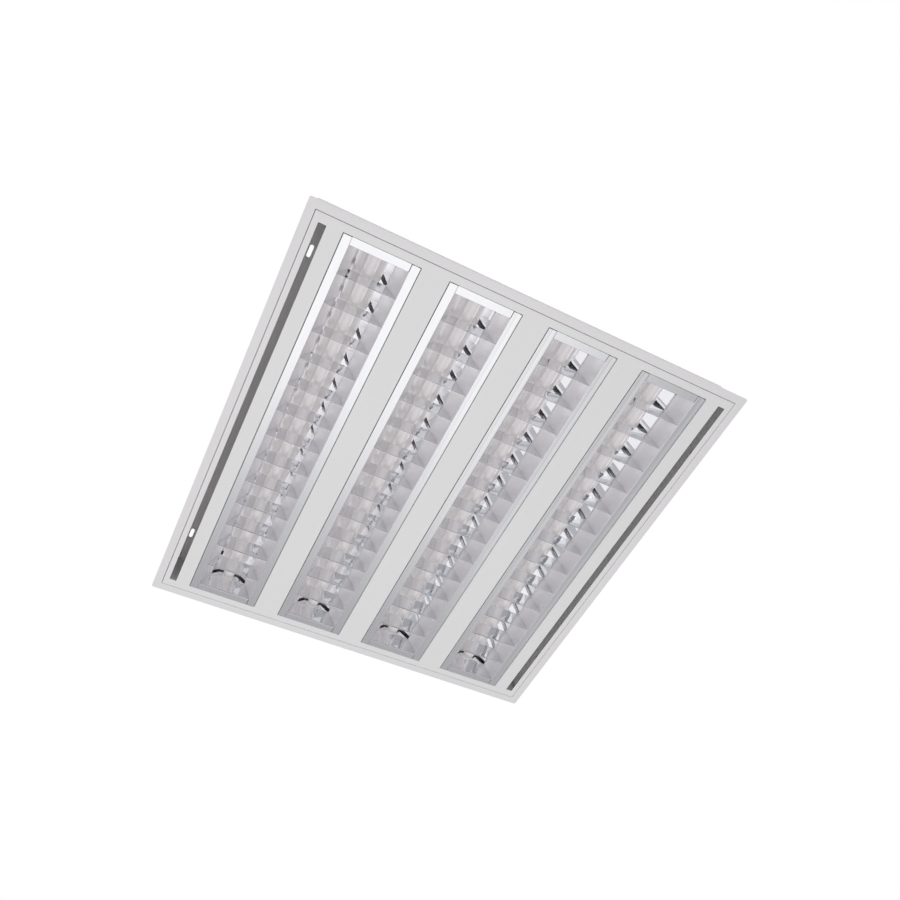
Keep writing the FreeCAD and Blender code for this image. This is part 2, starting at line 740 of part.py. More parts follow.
def ballast_screws():
    """Two screws from above through the tray's top into the ballast case."""
    body = new_body("ballast_screws")
    heads = new_sketch(body, "XY_Plane", "tray_depth")
    shanks = new_sketch(body, "XY_Plane", "tray_depth")
    for end in ENDS:
        ring(heads, "0", f"{end} * {BALLAST_SCREW}", "screw_head")
        ring(shanks, "0", f"{end} * {BALLAST_SCREW}", "screw_radius")
    pad(body, heads, "screw_head * 0.6")
    pad(body, shanks, "steel + ballast_skin + 3", reverse=True)


def terminal_block():
    """Three-way mains block under the tray's top, with a wire bore and a screw well for each way."""
    body = new_body("terminal_block", x="inlet_shift", y=f"0 - {BLOCK_Y}")
    block = new_sketch(body, "XY_Plane", f"{TRAY_TOP} - block_high")
    middle_box(block, "block_wide", "block_long")
    pad(body, block, "block_high")
    wells = new_sketch(body, "XY_Plane", f"{TRAY_TOP} - block_high")
    ways = new_sketch(body, "XZ_Plane")
    for way in (-1, 0, 1):
        ring(wells, f"{way} * block_wide / 3.3", "0", "2.1")
        ring(ways, f"{way} * block_wide / 3.3", f"{TRAY_TOP} - block_high * 0.55", "core_radius + 0.02")
    pocket(body, wells, "4", reverse=True)
    pocket(body, ways, "block_long + 2", both_ways=True)


def terminal_screws():
    """One clamp screw in each well of the mains block."""
    body = new_body("terminal_screws", x="inlet_shift", y=f"0 - {BLOCK_Y}")
    heads = new_sketch(body, "XY_Plane", f"{TRAY_TOP} - block_high + 1.2")
    slots = new_sketch(body, "XY_Plane", f"{TRAY_TOP} - block_high + 1.2")
    for way in (-1, 0, 1):
        ring(heads, f"{way} * block_wide / 3.3", "0", "2")
        middle_box(slots, "0.6", "5", x=f"{way} * block_wide / 3.3")
    pad(body, heads, "2.8")
    pocket(body, slots, "0.8", reverse=True)


def cable_grommet():
    """Rubber ring in the cable inlet: a groove round the sheet's edge and a round bore."""
    body = new_body("cable_grommet", x="inlet_shift", y=f"0 - {INLET_Y}")
    section = new_sketch(body, "XZ_Plane")
    outline(section, [
        ("inlet_bore", f"{TRAY_TOP} - 2.2"), ("inlet_radius + 1.8", f"{TRAY_TOP} - 2.2"),
        ("inlet_radius + 2.6", f"{TRAY_TOP} - 1.2"), ("inlet_radius + 2.6", TRAY_TOP),
        ("inlet_radius - 0.05", TRAY_TOP), ("inlet_radius - 0.05", "tray_depth"),
        ("inlet_radius + 2.6", "tray_depth"), ("inlet_radius + 2.6", "tray_depth + 1.2"),
        ("inlet_radius + 1.8", "tray_depth + 2.2"), ("inlet_bore", "tray_depth + 2.2"),
    ])
    turned(body, section, "Z_Axis")


def earth_stud():
    """Threaded stud welded under the tray's top."""
    body = new_body("earth_stud", x="stud_place", y=f"0 - {BLOCK_Y}")
    rod = new_sketch(body, "XY_Plane", TRAY_TOP)
    ring(rod, "0", "0", "stud_radius")
    pad(body, rod, "stud_long", reverse=True)


def earth_nut():
    """Hexagon nut on the earth stud."""
    body = new_body("earth_nut", x="stud_place", y=f"0 - {BLOCK_Y}")
    flats = new_sketch(body, "XY_Plane", f"{TRAY_TOP} - 4")
    reach = "(nut_wide / 1.7320508)"
    outline(flats, [(reach, "0"), (f"{reach} / 2", "nut_wide / 2"), (f"0 - {reach} / 2", "nut_wide / 2"),
                    (f"0 - {reach}", "0"), (f"0 - {reach} / 2", "0 - nut_wide / 2"),
                    (f"{reach} / 2", "0 - nut_wide / 2")])
    ring(flats, "0", "0", "stud_radius + 0.02")
    pad(body, flats, "3.2", reverse=True)


def mains_wires():
    """Three wires from the mains block to the near end of the ballast."""
    body = new_body("mains_wires", x="inlet_shift")
    ends = new_sketch(body, "XZ_Plane", f"{BLOCK_Y} - 3")
    for way in (-1, 0, 1):
        ring(ends, f"{way} * block_wide / 3.3", f"{TRAY_TOP} - block_high * 0.55", "core_radius")
    pad(body, ends, f"{BLOCK_Y} - 3 - ballast_long / 2 - terminal_long", reverse=True)


def lamp_wires():
    """A bundle at each end: out of the ballast, across the tray and a branch to each lampholder."""
    body = new_body("lamp_wires")
    for end in ENDS:
        trunk = new_sketch(body, "XZ_Plane", f"0 - {end} * (ballast_long / 2 + terminal_long)")
        ring(trunk, "0 - bundle_shift", "bundle_rise", "bundle_radius")
        pad(body, trunk, f"{BUNDLE_TURN} - ballast_long / 2 - terminal_long + bundle_radius",
            reverse=end > 0)
        across = new_sketch(body, "YZ_Plane")
        ring(across, f"{end} * {BUNDLE_TURN}", "bundle_rise", "bundle_radius")
        pad(body, across, "3 * unit_pitch + 2 * bundle_radius", both_ways=True)
        branches = new_sketch(body, "XZ_Plane", f"0 - {end} * {BUNDLE_TURN}")
        for unit in UNITS:
            ring(branches, unit_x(unit), "bundle_rise", "bundle_radius * 0.8")
        pad(body, branches, f"{HOLDER_FACE} - {BUNDLE_TURN}", reverse=end > 0)


def check_model():
    """Stop if any object failed to compute or a piece is not a sound solid."""
    for item in doc.Objects:
        if "Invalid" in item.State or "Error" in item.State:
            raise RuntimeError(f"{item.Label}: {item.State}")
    for body in nodes:
        if body.Shape.isNull() or not body.Shape.isValid() or not body.Shape.Solids:
            raise RuntimeError(f"{body.Label}: not a sound solid")


def save_parts():
    os.makedirs("parts", exist_ok=True)
    for body in nodes:
        body.Shape.exportStep(f"parts/{body.Label}.step")
        print(body.Label, len(body.Shape.Solids), "solids", round(body.Shape.Volume, 1))


fill_sheet()
housing()
tray_walls()
face_plate()
face_plate_screws()
air_duct("duct_left", -1)
air_duct("duct_right", 1)
blade_shape = blade_pattern()
for number in UNITS:
    top_reflector(number)
    louvre_sides(number)
    louvre_ends(number)
    louvre_blades(number, blade_shape)
    hinge_pins(number)
    latch_springs(number)
    lamp_tube(number)
    lamp_caps(number)
    lamp_rotors(number)
    lampholders(number)
ballast_case()
ballast_cover()
ballast_board()
ballast_terminals()
ballast_screws()
terminal_block()
terminal_screws()
cable_grommet()
earth_stud()
earth_nut()
mains_wires()
lamp_wires()
doc.recompute()
check_model()
save_parts()
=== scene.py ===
import json
import math

import bmesh
import bpy
import numpy as np
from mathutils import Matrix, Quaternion, Vector


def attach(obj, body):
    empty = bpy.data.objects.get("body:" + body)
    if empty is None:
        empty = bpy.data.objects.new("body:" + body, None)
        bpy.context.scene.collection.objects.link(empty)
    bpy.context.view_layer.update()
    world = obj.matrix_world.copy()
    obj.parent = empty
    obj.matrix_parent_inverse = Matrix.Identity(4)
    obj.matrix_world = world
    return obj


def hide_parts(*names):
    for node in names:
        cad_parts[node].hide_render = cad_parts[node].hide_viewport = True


# Recessed ceiling light with four hinged louvre units, seen from below.
# Lengths are in millimetres here and become metres when a mesh is made.

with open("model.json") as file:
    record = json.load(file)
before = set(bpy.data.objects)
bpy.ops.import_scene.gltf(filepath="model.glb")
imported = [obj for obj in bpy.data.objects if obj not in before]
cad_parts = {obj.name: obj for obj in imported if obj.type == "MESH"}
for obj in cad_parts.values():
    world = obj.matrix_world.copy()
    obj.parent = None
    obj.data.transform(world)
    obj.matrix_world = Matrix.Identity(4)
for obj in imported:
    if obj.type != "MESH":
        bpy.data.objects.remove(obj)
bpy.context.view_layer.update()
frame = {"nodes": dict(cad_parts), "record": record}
nodes = frame["nodes"]
unitNumbers = (1, 2, 3, 4)
unitPitch = 133.5
steel = 0.8   # tray and face sheet
sheet = 0.5   # louvre and reflector sheet


def unitMiddle(unit):
    return (unit - 2.5) * unitPitch


# Lines and profiles.

def roundCorners(points, radii, steps=5):
    # Each corner is cut back by radius times the tangent of half its turn,
    # and an arc of equal angles runs between the two cuts.
    points = np.array(points, float)
    line = [points[:1]]
    for before, corner, after, radius in zip(points, points[1:], points[2:], radii):
        into = (corner - before) / np.linalg.norm(corner - before)
        out = (after - corner) / np.linalg.norm(after - corner)
        turn = math.atan2(into[0] * out[1] - into[1] * out[0], into @ out)
        if radius <= 0 or abs(turn) < 1e-6:
            line.append(corner[None])
            continue
        side = math.copysign(1, turn)
        start = corner - into * radius * math.tan(abs(turn) / 2)
        centre = start + side * radius * np.array([-into[1], into[0]])
        spin = np.linspace(0, turn, steps)
        spoke = start - centre
        line.append(centre + np.stack([
            spoke[0] * np.cos(spin) - spoke[1] * np.sin(spin),
            spoke[0] * np.sin(spin) + spoke[1] * np.cos(spin)], 1))
    line.append(points[-1:])
    return np.vstack(line)


def holdFlats(line, margin):
    # Two more points near the ends of each long stretch, so that smooth shading keeps it flat.
    run = np.diff(line, axis=0)
    length = np.linalg.norm(run, axis=1)[:, None]
    share = np.minimum(margin / length, 0.25)
    held = np.stack([line[:-1], line[:-1] + run * share, line[1:] - run * share], 1)
    keep = np.stack([length[:, 0] > 0, length[:, 0] > 3 * margin, length[:, 0] > 3 * margin], 1)
    return np.vstack([held[keep], line[-1:]])


def arcLine(start, end, radius, side, count=14):
    # Points at equal angles on the circle of that radius through both ends;
    # it bulges to the left of the way for side 1 and to the right for -1.
    start, end = np.array(start, float), np.array(end, float)
    chord = end - start
    length = np.linalg.norm(chord)
    left = np.array([-chord[1], chord[0]]) / length
    centre = (start + end) / 2 - side * left * math.sqrt(radius ** 2 - length ** 2 / 4)
    first = math.atan2(*(start - centre)[::-1])
    half = math.asin(length / 2 / radius)
    spin = first - side * np.linspace(0, 2 * half, count)
    return centre + radius * np.stack([np.cos(spin), np.sin(spin)], 1)


def leftNormals(line):
    # The mean of the directions before and after a point, turned a quarter to the left
    # and lengthened so that a band of even thickness goes round a corner.
    run = np.diff(line, axis=0)
    run /= np.linalg.norm(run, axis=1)[:, None]
    mean = np.vstack([run[:1], run[:-1] + run[1:], run[-1:]])
    mean /= np.linalg.norm(mean, axis=1)[:, None]
    reach = np.concatenate([[1.0], (mean[1:-1] * run[1:]).sum(1), [1.0]])
    return np.stack([-mean[:, 1], mean[:, 0]], 1) / reach[:, None]


def band(line, thickness):
    # The line, then the same line moved to its left by the thickness and run backwards;
    # a thickness below zero moves it to the right.
    return np.vstack([line, (line + leftNormals(line) * thickness)[::-1]])


# Surfaces.

def gridFaces(rows, cols, wrapRows=False, wrapCols=False):
    # Four corners for each cell of a grid of rows by cols points.
    row, col = np.meshgrid(np.arange(rows if wrapRows else rows - 1),
                           np.arange(cols if wrapCols else cols - 1), indexing="ij")
    nextRow, nextCol = (row + 1) % rows, (col + 1) % cols
    return np.stack([row * cols + col, row * cols + nextCol,
                     nextRow * cols + nextCol, nextRow * cols + col], -1).reshape(-1, 4)


def sweep(profile, stations, place):
    # A closed profile of (a, b) points set down at each station: place(a, b, station)
    # gives x, y and z as whole arrays. Both ends are closed with a flat face.
    count = len(profile)
    a = np.broadcast_to(profile[:, 0], (len(stations), count))
    b = np.broadcast_to(profile[:, 1], (len(stations), count))
    points = np.stack(place(a, b, np.array(stations, float)[:, None]), -1)
    last = (len(stations) - 1) * count
    faces = [gridFaces(len(stations), count, wrapCols=True),
             np.arange(count)[None], np.arange(count)[None] + last]
    return points.reshape(-1, 3), faces


def alongY(profile, stations, x=0.0, z=0.0):
    return sweep(profile, stations, lambda a, b, s: (a + x, s + 0 * a, b + z))


def rectLoop(box, corner, out=0.0, steps=6):
    # A box (x0, x1, y0, y1) grown by out, with quarter circles for corners:
    # corner centre plus corner radius times (cosine, sine).
    x0, x1, y0, y1 = box[0] - out, box[1] + out, box[2] - out, box[3] + out
    corner = max(corner, 0)
    spin = np.radians(np.arange(4)[:, None] * 90 + np.linspace(0, 90, steps)).ravel()
    midX = np.repeat([x1 - corner, x0 + corner, x0 + corner, x1 - corner], steps)
    midY = np.repeat([y1 - corner, y1 - corner, y0 + corner, y0 + corner], steps)
    return np.stack([midX + corner * np.cos(spin), midY + corner * np.sin(spin)], 1)


def ringWall(box, rows, corner, most=1e9, steps=6):
    # A profile of (out, z) rows carried round a box; the corner radius grows with out.
    loops = [np.column_stack([rectLoop(box, min(corner + out, most), out, steps),
                              np.full(steps * 4, z)]) for out, z in rows]
    return np.vstack(loops), [gridFaces(len(loops), steps * 4, wrapCols=True)]


def latheY(profile, x, z, segments=48):
    # Each (radius, y) point of the profile turned a full circle about a line along y.
    spin = np.linspace(0, 2 * math.pi, segments, endpoint=False)[:, None]
    radius, along = profile[:, 0], profile[:, 1]
    points = np.stack([x + radius * np.cos(spin), along + 0 * spin, z + radius * np.sin(spin)], -1)
    return points.reshape(-1, 3), [gridFaces(segments, len(profile), wrapRows=True)]


def latheZ(profile, x, y, segments=48):
    # Each (radius, z) point turned a full circle about an upright line.
    spin = np.linspace(0, 2 * math.pi, segments, endpoint=False)[:, None]
    radius, rise = profile[:, 0], profile[:, 1]
    points = np.stack([x + radius * np.cos(spin), y + radius * np.sin(spin), rise + 0 * spin], -1)
    return points.reshape(-1, 3), [gridFaces(segments, len(profile), wrapRows=True)]


def mirrored(part, axis):
    # The same surface on the other side of a plane through the origin; its faces are turned round.
    points = part[0].copy()
    points[:, axis] *= -1
    return points, [block[:, ::-1] for block in part[1]]


def makePiece(name, parts, finish, body, cadNodes=(), flatLevels=(), sharp=32):
    # Puts the surfaces into one mesh, closes the flat sheets between their open edges,
    # merges doubles and turns the faces outwards.
    points, faces, start = [], [], 0
    for surface, blocks in parts:
        points.append(surface)
        for block in blocks:
            faces += (block + start).tolist()
        start += len(surface)
    mesh = bpy.data.meshes.new(name)
    mesh.from_pydata((np.vstack(points) / 1000).tolist(), [], faces)
    work = bmesh.new()
    work.from_mesh(mesh)
    bmesh.ops.remove_doubles(work, verts=work.verts, dist=1e-6)
    for level in flatLevels:
        edges = [e for e in work.edges if e.is_boundary
                 and all(abs(v.co.z - level / 1000) < 1e-6 for v in e.verts)]
        bmesh.ops.triangle_fill(work, edges=edges, use_beauty=False)
    bmesh.ops.recalc_face_normals(work, faces=work.faces)
    work.to_mesh(mesh)
    work.free()
    mesh.shade_smooth()
    mesh.set_sharp_from_angle(angle=math.radians(sharp))
    mesh.materials.append(finish)
    piece = bpy.data.objects.new(name, mesh)
    bpy.context.scene.collection.objects.link(piece)
    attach(piece, body)
    if cadNodes:
        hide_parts(*cadNodes)
    return piece


def secondFinish(piece, second, lowest, highest):
    # Faces whose middle lies between two heights take another finish.
    mesh = piece.data
    mesh.materials.append(second)
    centres = np.empty(len(mesh.polygons) * 3)
    mesh.polygons.foreach_get("center", centres)
    rise = centres[2::3] * 1000
    mesh.polygons.foreach_set("material_index", ((rise > lowest) & (rise < highest)).astype(np.int32))


# Finishes.

def newMaterial(name):
    material = bpy.data.materials.new(name)
    material.use_nodes = True
    tree = material.node_tree
    return material, tree, tree.nodes["Principled BSDF"]


def noiseField(tree, scale, stretch=(1, 1, 1), detail=3.0, roughness=0.55):
    # Noise over the piece's own coordinates, drawn out along one axis where stretch is small.
    place = tree.nodes.new("ShaderNodeTexCoord")
    turn = tree.nodes.new("ShaderNodeMapping")
    turn.inputs["Scale"].default_value = stretch
    noise = tree.nodes.new("ShaderNodeTexNoise")
    noise.inputs["Scale"].default_value = scale
    noise.inputs["Detail"].default_value = detail
    noise.inputs["Roughness"].default_value = roughness
    tree.links.new(place.outputs["Object"], turn.inputs["Vector"])
    tree.links.new(turn.outputs["Vector"], noise.inputs["Vector"])
    return noise.outputs["Fac"]


def spread(tree, field, low, high):
    # The middle of the noise stretched over low to high.
    fit = tree.nodes.new("ShaderNodeMapRange")
    fit.inputs["From Min"].default_value = 0.3
    fit.inputs["From Max"].default_value = 0.7
    fit.inputs["To Min"].default_value = low
    fit.inputs["To Max"].default_value = high
    tree.links.new(field, fit.inputs["Value"])
    return fit.outputs["Result"]


def twoColours(tree, field, first, second):
    mix = tree.nodes.new("ShaderNodeMix")
    mix.data_type = "RGBA"
    mix.inputs["A"].default_value = (*first, 1)
    mix.inputs["B"].default_value = (*second, 1)
    tree.links.new(field, mix.inputs["Factor"])
    return mix.outputs["Result"]


def grain(tree, shader, field, height, strength=1.0):
    bump = tree.nodes.new("ShaderNodeBump")
    bump.inputs["Strength"].default_value = strength
    bump.inputs["Distance"].default_value = height
    tree.links.new(field, bump.inputs["Height"])
    tree.links.new(bump.outputs["Normal"], shader.inputs["Normal"])


def finishOf(name, look):
    # One finish: two near colours in slow clouds, a roughness that varies, and a fine grain.
    material, tree, shader = newMaterial(name)
    stretch = look.get("stretch", (1, 1, 1))
    clouds = spread(tree, noiseField(tree, look["cloudScale"], look.get("cloudStretch", (1, 1, 1))), 0, 1)
    tree.links.new(twoColours(tree, clouds, look["colour"], look["shade"]), shader.inputs["Base Color"])
    fine = noiseField(tree, look["grainScale"], stretch, detail=2.0)
    tree.links.new(spread(tree, fine, *look["roughness"]), shader.inputs["Roughness"])
    if look.get("height"):
        grain(tree, shader, fine, look["height"])
    # painted light: a glow gives the surface an emission of its own, used on the lamp tube to fill in its shade
    if "glow" in look:
        shader.inputs["Emission Color"].default_value = (*look["glow"][:3], 1)
        shader.inputs["Emission Strength"].default_value = look["glow"][3]
    for socket, key in (("Metallic", "metallic"), ("Coat Weight", "coat"), ("Coat Roughness", "coatRoughness"),
                        ("IOR", "ior"), ("Transmission Weight", "clear"), ("Specular IOR Level", "specular")):
        if key in look:
            shader.inputs[socket].default_value = look[key]
    return material


finishes = {
    "facePaint": {"colour": (0.805, 0.80, 0.78), "shade": (0.79, 0.785, 0.767), "cloudScale": 5.0,
                  "grainScale": 900.0, "roughness": (0.36, 0.44), "height": 0.00001, "specular": 0.4},
    "trayPaint": {"colour": (0.80, 0.785, 0.775), "shade": (0.785, 0.765, 0.757), "cloudScale": 4.0,
                  "grainScale": 800.0, "roughness": (0.38, 0.46), "height": 0.00001, "specular": 0.4},
    "ductPaint": {"colour": (0.68, 0.68, 0.69), "shade": (0.64, 0.64, 0.65), "cloudScale": 9.0,
                  "grainScale": 700.0, "roughness": (0.45, 0.55), "height": 0.00001},
    "louvreAluminium": {"colour": (0.66, 0.66, 0.66), "shade": (0.63, 0.63, 0.635), "cloudScale": 6.0,
                        "grainScale": 1600.0, "stretch": (1, 0.02, 1), "roughness": (0.20, 0.27),
                        "metallic": 1.0},
    "bladeAluminium": {"colour": (0.82, 0.825, 0.835), "shade": (0.80, 0.805, 0.818), "cloudScale": 9.0,
                       "grainScale": 1500.0, "stretch": (0.02, 1, 1), "roughness": (0.04, 0.07),
                       "metallic": 1.0},
    "archAluminium": {"colour": (0.91, 0.89, 0.897), "shade": (0.89, 0.87, 0.88), "cloudScale": 6.0,
                      "grainScale": 1500.0, "stretch": (1, 0.02, 1), "roughness": (0.30, 0.36),
                      "metallic": 0.55},
    "reflectorAluminium": {"colour": (0.95, 0.95, 0.95), "shade": (0.93, 0.93, 0.935), "cloudScale": 7.0,
                           "grainScale": 1500.0, "stretch": (1, 0.015, 1), "roughness": (0.02, 0.04),
                           "metallic": 1.0},
    # painted light: the faint glow over a dark base colour makes the tube evenly bright all round, filling in the
    # shade on its upper side
    "lampGlass": {"colour": (0.38, 0.365, 0.368), "shade": (0.36, 0.345, 0.352), "cloudScale": 14.0,
                  "grainScale": 500.0, "roughness": (0.16, 0.22), "coat": 0.6, "coatRoughness": 0.04,
                  "glow": (1.0, 0.955, 0.968, 0.34)},
    "capAluminium": {"colour": (0.74, 0.74, 0.75), "shade": (0.66, 0.66, 0.68), "cloudScale": 60.0,
                     "grainScale": 1400.0, "stretch": (0.05, 1, 0.05), "roughness": (0.22, 0.34),
                     "height": 0.000006, "metallic": 1.0},
    "rotorPlastic": {"colour": (0.74, 0.74, 0.72), "shade": (0.70, 0.70, 0.68), "cloudScale": 40.0,
                     "grainScale": 900.0, "roughness": (0.38, 0.5), "height": 0.00001},
    "whitePlastic": {"colour": (0.80, 0.80, 0.785), "shade": (0.77, 0.77, 0.75), "cloudScale": 30.0,
                     "grainScale": 900.0, "roughness": (0.36, 0.48), "height": 0.00001},
    "zincSteel": {"colour": (0.62, 0.63, 0.65), "shade": (0.50, 0.51, 0.54), "cloudScale": 160.0,
                  "grainScale": 900.0, "roughness": (0.24, 0.42), "height": 0.00001, "metallic": 1.0},
    "boardGreen": {"colour": (0.03, 0.14, 0.05), "shade": (0.04, 0.19, 0.07), "cloudScale": 220.0,
                   "grainScale": 900.0, "roughness": (0.3, 0.45), "height": 0.00002, "coat": 0.4},
    "brass": {"colour": (0.74, 0.56, 0.28), "shade": (0.66, 0.48, 0.22), "cloudScale": 150.0,
              "grainScale": 1000.0, "roughness": (0.2, 0.34), "height": 0.00001, "metallic": 1.0},
    "blackRubber": {"colour": (0.03, 0.03, 0.03), "shade": (0.045, 0.045, 0.045), "cloudScale": 90.0,
                    "grainScale": 1200.0, "roughness": (0.6, 0.78), "height": 0.00002},
    "wireCover": {"colour": (0.72, 0.72, 0.70), "shade": (0.66, 0.66, 0.64), "cloudScale": 80.0,
                  "grainScale": 900.0, "roughness": (0.3, 0.42), "height": 0.00001},
}
finish = {name: finishOf(name, look) for name, look in finishes.items()}
print("finishes made:", len(finish))


# Camera, light and floor.

shot = {
    "place": (-0.31403, -0.49293, -0.87456),
    "turn": (0.251009, 0.942836, -0.207919, -0.069457),
    "lens": 31.262,
    "shift": (0.0614, 0.00325),
}
camera = bpy.data.objects.new("camera", bpy.data.cameras.new("camera"))
camera.location = shot["place"]
camera.rotation_mode = "QUATERNION"
camera.rotation_quaternion = Quaternion(shot["turn"])
camera.data.lens = shot["lens"]
camera.data.sensor_width = 36
camera.data.shift_x, camera.data.shift_y = shot["shift"]
camera.data.clip_start, camera.data.clip_end = 0.01, 50
bpy.context.scene.collection.objects.link(camera)
bpy.context.scene.camera = camera
bpy.context.scene.view_settings.view_transform = "Standard"
bpy.context.scene.cycles.max_bounces = 24
bpy.context.scene.cycles.glossy_bounces = 20
bpy.context.scene.cycles.diffuse_bounces = 8

studio = {
    "floorDrop": -1.30,
    "floorHalf": 7.0,
    "paper": [(0.76, 0.76, 0.80), (0.74, 0.74, 0.78)],
    "seenWhite": 1.0,
    "ambient": 0.73,
    "panels": [
        {"name": "smallPanel", "place": (-0.06, 0.04, -1.26), "aim": (0, 0, 1), "size": (1.0, 1.0), "glow": 0.33},
        {"name": "middlePanel", "place": (-0.04, 0.08, -1.27), "aim": (0, 0, 1), "size": (1.5, 1.5), "glow": 0.34},
        {"name": "widePanel", "place": (-0.02, 0.12, -1.28), "aim": (0, 0, 1), "size": (2.1, 2.1), "glow": 0.28},
        {"name": "sidePanel", "place": (-2.05, 0.95, -1.28), "aim": (0, 0, 1), "size": (1.7, 2.7), "glow": 0.34},
    ],
}


def addPanel(panel):
    # A flat lamp that looks along aim; its power is glow times pi times its area.
    light = bpy.data.lights.new(panel["name"], "AREA")
    light.shape = "RECTANGLE"
    light.size, light.size_y = panel["size"]
    light.energy = panel["glow"] * math.pi * panel["size"][0] * panel["size"][1]
    lamp = bpy.data.objects.new(panel["name"], light)
    lamp.rotation_mode = "QUATERNION"
    lamp.rotation_quaternion = Vector(panel["aim"]).to_track_quat("-Z", "Y")
    lamp.location = panel["place"]
    lamp.visible_camera = False
    bpy.context.scene.collection.objects.link(lamp)


for panel in studio["panels"]:
    addPanel(panel)

half = studio["floorHalf"]
floorMesh = bpy.data.meshes.new("floor")
floorMesh.from_pydata([(x * half, y * half, studio["floorDrop"]) for x, y in ((-1, -1), (1, -1), (1, 1), (-1, 1))],
                      [], [(0, 1, 2, 3)])
floor = bpy.data.objects.new("floor", floorMesh)
bpy.context.scene.collection.objects.link(floor)
floorMaterial, tree, shader = newMaterial("floorPaper")
shader.inputs["Roughness"].default_value = 0.9
tree.links.new(twoColours(tree, spread(tree, noiseField(tree, 3.0), 0, 1), *studio["paper"]),
               shader.inputs["Base Color"])
floorMesh.materials.append(floorMaterial)

world = bpy.data.worlds.new("studio")
bpy.context.scene.world = world
world.use_nodes = True
tree = world.node_tree
back = tree.nodes["Background"]
path = tree.nodes.new("ShaderNodeLightPath")
seen = path.outputs["Is Camera Ray"]   # the white is only seen; the light it gives is the ambient level
for ray in ("Is Glossy Ray", "Is Transmission Ray"):
    either = tree.nodes.new("ShaderNodeMath")
    either.operation = "MAXIMUM"
    tree.links.new(seen, either.inputs[0])
    tree.links.new(path.outputs[ray], either.inputs[1])
    seen = either.outputs[0]
level = tree.nodes.new("ShaderNodeMapRange")
level.inputs["To Min"].default_value = studio["ambient"]
level.inputs["To Max"].default_value = studio["seenWhite"]
tree.links.new(seen, level.inputs["Value"])
tree.links.new(level.outputs["Result"], back.inputs["Strength"])
back.inputs["Color"].default_value = (1, 1, 1, 1)
print("camera, lamps and floor placed")


# Tray: rim, walls and top sheet in one.

tray = {
    "wallHalf": 287.4, "depth": 53.0, "rim": 10.1, "corner": 1.2, "rimCorner": 2.5,
    "bends": [1.6, 0.5, 0.2, 0.2, 0.5, 0.8], "holeEdge": 0.15,
    "ribHalf": (7.5, 220.0), "ribRise": 2.5, "ribSlope": 1.7, "ribBend": 0.9,
    "hangSlot": (2.5, 8.0), "hangPlace": (272.0, 226.0),
    "inlet": (9.0, -222.0, 6.5), "screwPlace": 126.0, "screwHole": 2.05,
}


def boxAt(x, y, halfX, halfY):
    return (x - halfX, x + halfX, y - halfY, y + halfY)


def makeTray(t):
    top, under = t["depth"], t["depth"] - steel
    wall = boxAt(0, 0, t["wallHalf"], t["wallHalf"])
    rows = roundCorners(
        [(-4, top), (0, top), (0, steel), (t["rim"], steel), (t["rim"], 0), (-steel, 0), (-steel, under), (-4, under)],
        t["bends"])
    parts = [ringWall(wall, rows, t["corner"], most=t["rimCorner"])]
    through = roundCorners([(1, top), (0, top), (0, under), (1, under)], [t["holeEdge"]] * 2, 3)
    for side in (-1, 1):
        for end in (-1, 1):
            hole = boxAt(side * t["hangPlace"][0], end * t["hangPlace"][1], *t["hangSlot"])
            parts.append(ringWall(hole, through, t["hangSlot"][0], steps=9))
        rib = boxAt(side * unitPitch, 0, *t["ribHalf"])
        for level in (top, under):
            slope = roundCorners([(0.8, level), (0, level), (-t["ribSlope"], level + t["ribRise"]),
                                  (-3.2, level + t["ribRise"])], [t["ribBend"]] * 2, 5)
            parts.append(ringWall(rib, slope, t["ribHalf"][0], steps=11))
        parts.append(ringWall(boxAt(0, side * t["screwPlace"], t["screwHole"], t["screwHole"]),
                              through, t["screwHole"], steps=6))
    x, y, radius = t["inlet"]
    parts.append(ringWall(boxAt(x, y, radius, radius), through, radius, steps=10))
    rise = t["ribRise"]
    makePiece("tray", parts, finish["trayPaint"], "root", ["housing", "tray_walls"],
              flatLevels=(top, under, top + rise, under + rise))


makeTray(tray)
print("tray made")


# Face sheet with its cut-outs and air slots.

face = {
    "half": 285.9, "lip": 12.0, "cut": (48.8, 275.8), "cutLip": 6.5,
    "slot": (4.9, 274.5), "slotPlace": 273.5, "bend": 0.55, "corner": 0.5, "outerCorner": 1.0,
    "edges": [0.2, 0.2, 0.3], "slotCorner": 0.3,
}


def makeFace(f):
    bend = f["bend"]
    rows = roundCorners([(-2.5, 0), (0, 0), (0, f["lip"]), (-steel, f["lip"]), (-steel, steel), (-2.5, steel)],
                        [bend, *f["edges"]])
    parts = [ringWall(boxAt(0, 0, f["half"], f["half"]), rows, f["outerCorner"])]
    lip = roundCorners([(2.2, 0), (0, 0), (0, f["cutLip"]), (steel, f["cutLip"]), (steel, steel), (2.2, steel)],
                       [bend, *f["edges"]])
    for unit in unitNumbers:
        parts.append(ringWall(boxAt(unitMiddle(unit), 0, *f["cut"]), lip, f["corner"]))
    punched = roundCorners([(1.2, 0), (0, 0), (0, steel), (1.2, steel)], [0.2, 0.2])
    for side in (-1, 1):
        parts.append(ringWall(boxAt(side * f["slotPlace"], 0, *f["slot"]), punched, f["slotCorner"]))
    makePiece("faceSheet", parts, finish["facePaint"], "root", ["face_plate"], flatLevels=(0, steel))


makeFace(face)
print("face sheet made")


# Louvre units.

